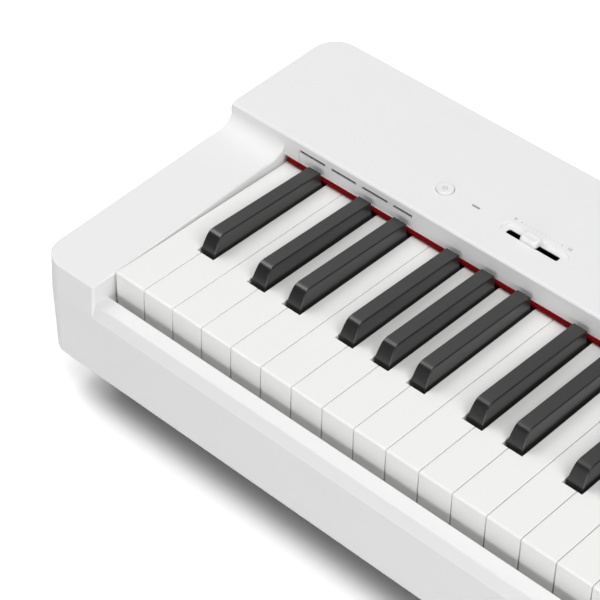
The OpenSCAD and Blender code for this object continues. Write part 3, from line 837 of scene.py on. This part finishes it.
# places front to rear and the cap's height there
BLACK_TOP = [(50.3, 0.0), (50.7, 1.6), (51.9, 4.4), (53.3, 7.3), (54.5, 9.4),
             (55.4, 10.6), (56.4, 11.4), (57.6, 11.85), (59.5, 12.0), (75, 11.62), (100, 11.03),
             (125, 10.45), (142.7, 10.04), (143.4, 9.95), (143.8, 9.6), (143.95, 9.0)]
BLACK_FOOT = 5.55
BLACK_TAPER = 1.02 / 12
BLACK_EDGE = 0.4
BLACK_GROOVE = 0.35
BLACK_GROOVE_H = 0.42
GROOVE_FROM = 9.2


def black_half(z):
    """Half the width of a black key at a height."""
    return BLACK_FOOT - BLACK_TAPER * max(z, 0)


def black_key(i):
    """A black key: sloping cap with rounded and grooved edges on its lever."""
    x = lane(i)
    rings = []
    for y, top in BLACK_TOP:
        edge = min(BLACK_EDGE, 0.25 + top * 0.2)
        foot = min(0, top - 1.0)
        bend = top * 0.5 if top > 2.5 else foot
        groove = BLACK_GROOVE if top > GROOVE_FROM else 0.0
        low = top - edge - BLACK_GROOVE_H
        right = [(black_half(0), -14), (black_half(0), foot - 0.01), (black_half(bend), bend),
                 (black_half(low), low - 0.05), (black_half(low) - groove, low + 0.05),
                 (black_half(low) - groove, top - edge - 0.05)]
        for k in range(5):
            a = math.radians(90 * k / 4)
            right.append((black_half(top) - edge + edge * math.cos(a),
                          top - edge + edge * math.sin(a)))
        rings.append([(x + w, fy(y), tz(z)) for w, z in right]
                     + [(x - w, fy(y), tz(z)) for w, z in reversed(right)])
    bm = loft(rings)
    bmesh.ops.recalc_face_normals(bm, faces=bm.faces)
    tail = [(y, z) for z, ys in ((-15.9, (143.0, TAIL_END)), (-1.2, (TAIL_END, 143.0))) for y in ys]
    add_tube(bm, [[(x + side * LEVER_W / 2, fy(y), tz(z)) for y, z in tail] for side in (-1, 1)])
    add_lever(bm, i)
    return bm


def make_keys():
    """All 88 keys, one piece for each body."""
    bodies = {}
    for i in range(88):
        bodies.setdefault(key_body(i), []).append(i)
    for body, members in bodies.items():
        white = degree(members[0]) in WHITE_DEGREES
        whole = bmesh.new()
        for i in members:
            part = white_key(i) if white else black_key(i)
            step = bpy.data.meshes.new("step")
            bmesh.ops.recalc_face_normals(part, faces=part.faces)
            part.to_mesh(step)
            part.free()
            whole.from_mesh(step)
            bpy.data.meshes.remove(step)
        mesh = bpy.data.meshes.new(body)
        whole.to_mesh(mesh)
        whole.free()
        piece = new_object("look_" + body, mesh)
        finish_piece(piece, body, "key_white" if white else "key_black", (body,), sharp=38)


# ---------------------------------------------------------------- felt, controls, small parts


FELT_END = 2.7
FELT_STEPS = 260
FELT_R = 1.9


def make_felt():
    """The red felt, with a slightly uneven round front."""
    rng = np.random.default_rng(7)
    wave = np.convolve(rng.normal(0, 0.35, FELT_STEPS + 20), np.ones(5) / 5, "same")
    rings = []
    for k in range(FELT_STEPS + 1):
        x = -WELL_X + FELT_END + (2 * WELL_X - 2 * FELT_END) * k / FELT_STEPS
        reach = FELT_R + 0.25 * wave[k]
        ring = []
        for j in range(9):
            a = math.radians(-90 + 180 * j / 8)
            ring.append((x, FASCIA_Y + 0.6 - reach * math.cos(a), tz(2.7) + FELT_R * math.sin(a)))
        ring += [(x, FASCIA_Y + 2.9, tz(4.6)), (x, FASCIA_Y + 2.9, tz(0.8))]
        rings.append(ring)
    felt = new_object("red_felt", mesh_from(loft(rings), "red_felt"))
    finish_piece(felt, "case", "red_felt", ("felt_strip",), sharp=50, weighted=False)


def make_buttons():
    """Round push buttons with rounded rims and a skirt under the panel."""
    top = PANEL_Z + BUTTON_RISE
    for node, x, r in BUTTONS:
        levels = [(1.5, PANEL_Z - 9.2), (1.5, PANEL_Z - 5), (r + 1.2, PANEL_Z - 5),
                  (r + 1.2, PANEL_Z - 3.4), (r, PANEL_Z - 3.4), (r, top - 0.6),
                  (r - 0.08, top - 0.3), (r - 0.28, top - 0.1), (r - 0.6, top - 0.02),
                  (r - 1.2, top - 0.03), (r * 0.6, top - 0.12), (r * 0.2, top - 0.16)]
        cap = new_object("look_" + node, mesh_from(disc_stack(x, BUTTON_Y, levels, 64), node))
        finish_piece(cap, node, "button_white", (node,), sharp=40, weighted=False)


PRINT = 0.04


def flat_mark(name, loops, body, z):
    """A printed mark: closed outlines given as lists of points, as thick as its ink."""
    bm = bmesh.new()
    for loop in loops:
        add_tube(bm, [[(x, y, h) for x, y in loop] for h in (z, z + PRINT)])
    mark = new_object(name, mesh_from(bm, name))
    finish_piece(mark, body, "print_grey", weighted=False)


def make_power_symbol():
    """Open ring with a bar through its gap."""
    x, y = POWER_X, BUTTON_Y
    arc = [math.radians(90 + 38 + (360 - 76) * k / 20) for k in range(21)]
    ring = [(x + 1.55 * math.cos(a), y + 1.55 * math.sin(a)) for a in arc]
    ring += [(x + 1.25 * math.cos(a), y + 1.25 * math.sin(a)) for a in reversed(arc)]
    bar = [(x - 0.15, y + 0.2), (x + 0.15, y + 0.2), (x + 0.15, y + 1.8), (x - 0.15, y + 1.8)]
    flat_mark("power_symbol", [ring, bar], "power_button", PANEL_Z + BUTTON_RISE - 0.16)


def make_volume_knob():
    """Rounded cap with a hollow for the fingertip and fine ribs down its front."""
    x = (slider_low[0] + slider_high[0]) / 2
    y = (slider_low[1] + slider_high[1]) / 2
    half_x = (slider_high[0] - slider_low[0]) / 2
    half_y = (slider_high[1] - slider_low[1]) / 2
    top = slider_high[2]
    foot = PANEL_Z - DISH_DEPTH + 0.3
    rings = []
    for z, inset, r in ((foot, 0.0, 2.2), (top - 1.6, 0.15, 2.4), (top - 0.9, 0.35, 2.6),
                        (top - 0.4, 0.7, 2.7), (top - 0.1, 1.3, 2.4), (top - 0.02, 1.9, 2.0),
                        (top - 0.35, 2.7, 1.3), (top - 0.5, 3.4, 0.7)):
        rings.append(round_ring(x, y, z, half_x - inset, half_y - inset, r, 8))
    knob = new_object("volume_knob", mesh_from(loft(rings), "volume_knob"))
    stem = block("stem", (x - 3, SLOT_Y - 1.2, PANEL_Z - 11), (x + 3, SLOT_Y + 1.2, foot + 0.4))
    combine(knob, stem, "UNION")
    for k in range(5):
        rx = x - 3 + 1.5 * k
        rib = block("rib", (rx - 0.2, y - half_y, foot + 0.5),
                    (rx + 0.2, y - half_y + 0.9, top - 1.4))
        combine(knob, rib, "UNION")
    finish_piece(knob, "volume_slider", "button_white", ("volume_slider",), sharp=40)


def row_of_dots():
    """Geometry Nodes tree: a straight row of equal round dots, the end ones larger."""
    tree = bpy.data.node_groups.new("row_of_dots", "GeometryNodeTree")
    face = tree.interface
    face.new_socket("Geometry", in_out="OUTPUT", socket_type="NodeSocketGeometry")
    for name, kind, value in (("Count", "Int", 11), ("Step", "Float", 0.003),
                              ("Dot Radius", "Float", 0.0003), ("Height", "Float", 0.00004),
                              ("Start", "Vector", (0, 0, 0)), ("Paint", "Material", None)):
        made = face.new_socket(name, in_out="INPUT", socket_type="NodeSocket" + kind)
        if value is not None:
            made.default_value = value
    nodes, links = tree.nodes, tree.links
    entry, result = nodes.new("NodeGroupInput"), nodes.new("NodeGroupOutput")
    line = nodes.new("GeometryNodeMeshLine")
    line.mode = "OFFSET"
    offset = nodes.new("ShaderNodeCombineXYZ")
    links.new(entry.outputs["Step"], offset.inputs["X"])
    links.new(entry.outputs["Count"], line.inputs["Count"])
    links.new(entry.outputs["Start"], line.inputs["Start Location"])
    links.new(offset.outputs[0], line.inputs["Offset"])
    dot = nodes.new("GeometryNodeMeshCylinder")
    dot.inputs["Vertices"].default_value = 16
    links.new(entry.outputs["Dot Radius"], dot.inputs["Radius"])
    links.new(entry.outputs["Height"], dot.inputs["Depth"])
    index = nodes.new("GeometryNodeInputIndex")
    last = math_step(tree, "SUBTRACT", entry.outputs["Count"], 1)
    inner = math_step(tree, "GREATER_THAN",
                      math_step(tree, "MODULO", index.outputs[0], last), 0.5)
    size = math_step(tree, "MULTIPLY_ADD", inner, -0.4, 1.0)
    scale = nodes.new("ShaderNodeCombineXYZ")
    links.new(size, scale.inputs["X"])
    links.new(size, scale.inputs["Y"])
    scale.inputs["Z"].default_value = 1
    spread = nodes.new("GeometryNodeInstanceOnPoints")
    links.new(line.outputs[0], spread.inputs["Points"])
    links.new(dot.outputs["Mesh"], spread.inputs["Instance"])
    links.new(scale.outputs[0], spread.inputs["Scale"])
    real = nodes.new("GeometryNodeRealizeInstances")
    links.new(spread.outputs[0], real.inputs[0])
    paint = nodes.new("GeometryNodeSetMaterial")
    links.new(real.outputs[0], paint.inputs["Geometry"])
    links.new(entry.outputs["Paint"], paint.inputs["Material"])
    links.new(paint.outputs[0], result.inputs[0])
    return tree


SCALE_Y = SLOT_Y + 10.4
SCALE_START = -16.5
SCALE_STEP = 3.0
NUMBERS = (("0", -22.0), ("10", 17.5))


def make_volume_scale():
    """Dots behind the volume slot, from soft to loud."""
    tree = row_of_dots()
    carrier = new_object("volume_scale", bpy.data.meshes.new("volume_scale"))
    step = carrier.modifiers.new("dots", "NODES")
    step.node_group = tree
    wanted = {"Count": 11, "Step": SCALE_STEP * MM, "Dot Radius": 0.36 * MM, "Height": PRINT * MM,
              "Start": ((SLOT_X + SCALE_START) * MM, SCALE_Y * MM, panel_at(SCALE_Y) * MM),
              "Paint": LOOKS["print_grey"]}
    for item in tree.interface.items_tree:
        if item.in_out == "INPUT" and item.name in wanted:
            step[item.identifier] = wanted[item.name]
    evaluated(carrier)
    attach(carrier, "case")


def make_numbers():
    """The ends of the volume scale, marked 0 and 10."""
    for word, x in NUMBERS:
        text = bpy.data.curves.new("mark_" + word, "FONT")
        text.body = word
        text.size = 3.2
        text.extrude = 0.02
        text.align_y = "CENTER"
        source = bpy.data.objects.new("mark_source", text)
        bpy.context.scene.collection.objects.link(source)
        graph = bpy.context.evaluated_depsgraph_get()
        mesh = bpy.data.meshes.new_from_object(source.evaluated_get(graph))
        bpy.data.objects.remove(source)
        mesh.transform(Matrix.Translation((SLOT_X + x, SCALE_Y, panel_at(SCALE_Y) + 0.05)))
        number = new_object("volume_number_" + word, mesh)
        finish_piece(number, "case", "print_grey", weighted=False)


def dress_cad_nodes():
    """The CAD pieces that stay take the finish of their slot."""
    slots = {s["node"]: s["material_slot"] for s in frame["record"]["subparts"]}
    for node, obj in frame["nodes"].items():
        if obj.hide_render:
            continue
        obj.data.materials.clear()
        obj.data.materials.append(LOOKS[slots[node]])


# ---------------------------------------------------------------- floor and light


FLOOR_TONE = 0.8
FLOOR_RADIUS = 1.5
FLOOR_CORNERS = 96
FLOOR_SEEN = 1.5
WORLD_LIGHT = 0.02
AIM = (-0.45, -0.02, 0.1)
# place, size and power of each soft box
LAMPS = {
    "overhead": ((-0.5, -0.02, 1.6), (2.2, 2.2), 8.1),
    "overhead_core": ((-0.5, -0.02, 1.6), (0.7, 0.7), 5.8),
    "left_box": ((-1.9, -0.1, 1.6), (1.4, 1.4), 20.4),
    "right_box": ((1.1, -0.3, 1.6), (1.4, 1.4), 27.6),
    "rear_box": ((-0.4, 1.4, 1.6), (1.4, 1.4), 0.8),
    "rear_left_box": ((-1.6, 1.2, 1.5), (1.2, 1.2), 2.8),
    "front_wall": ((0.2, -2.5, 0.52), (2.6, 1.0), 18.2),
    "front_strip": ((0.4, -2.6, 0.28), (2.6, 0.4), 10.4),
}


def by_sight(tree, other, seen, end):
    """One shader for the straight view of the camera, another for everything else."""
    mix = tree.nodes.new("ShaderNodeMixShader")
    sight = tree.nodes.new("ShaderNodeLightPath").outputs["Is Camera Ray"]
    tree.links.new(sight, mix.inputs[0])
    tree.links.new(other.outputs[0], mix.inputs[1])
    tree.links.new(seen.outputs[0], mix.inputs[2])
    tree.links.new(mix.outputs[0], tree.nodes[end].inputs["Surface"])


def make_floor():
    """A white floor that keeps the shadow, and looks white to the camera."""
    bm = bmesh.new()
    bm.faces.new([bm.verts.new((x, y, 0))
                  for x, y in circle(0, 0, FLOOR_RADIUS, FLOOR_CORNERS)])
    mesh = bpy.data.meshes.new("floor")
    bm.to_mesh(mesh)
    bm.free()
    floor = new_object("floor", mesh)
    material, tree, shader = new_material("floor")
    shader.inputs["Base Color"].default_value = (FLOOR_TONE, FLOOR_TONE, FLOOR_TONE, 1)
    shader.inputs["Roughness"].default_value = 1
    shader.inputs["Specular IOR Level"].default_value = 0
    seen = tree.nodes.new("ShaderNodeBsdfDiffuse")
    seen.inputs["Color"].default_value = (FLOOR_SEEN, FLOOR_SEEN, FLOOR_SEEN, 1)
    by_sight(tree, shader, seen, "Material Output")
    mesh.materials.append(material)


def make_world():
    """An even pale surround."""
    world = bpy.data.worlds.new("surround")
    world.use_nodes = True
    tree = world.node_tree
    plain, white = tree.nodes["Background"], tree.nodes.new("ShaderNodeBackground")
    for background, strength in ((plain, WORLD_LIGHT), (white, 1)):
        background.inputs["Color"].default_value = (1, 1, 1, 1)
        background.inputs["Strength"].default_value = strength
    by_sight(tree, plain, white, "World Output")
    bpy.context.scene.world = world


def make_lamps():
    """Large soft boxes."""
    for name, (place, size, power) in LAMPS.items():
        data = bpy.data.lights.new(name, "AREA")
        data.shape = "RECTANGLE"
        data.size, data.size_y = size
        data.energy = power
        lamp = bpy.data.objects.new(name, data)
        lamp.location = place
        lamp.rotation_euler = (Vector(AIM) - Vector(place)).to_track_quat("-Z", "Y").to_euler()
        bpy.context.scene.collection.objects.link(lamp)


make_case()
make_sound_ports()
make_keys()
make_felt()
make_buttons()
make_power_symbol()
make_volume_knob()
make_volume_scale()
make_numbers()
dress_cad_nodes()
make_floor()
make_world()
make_lamps()
bpy.context.scene.view_settings.view_transform = "Standard"
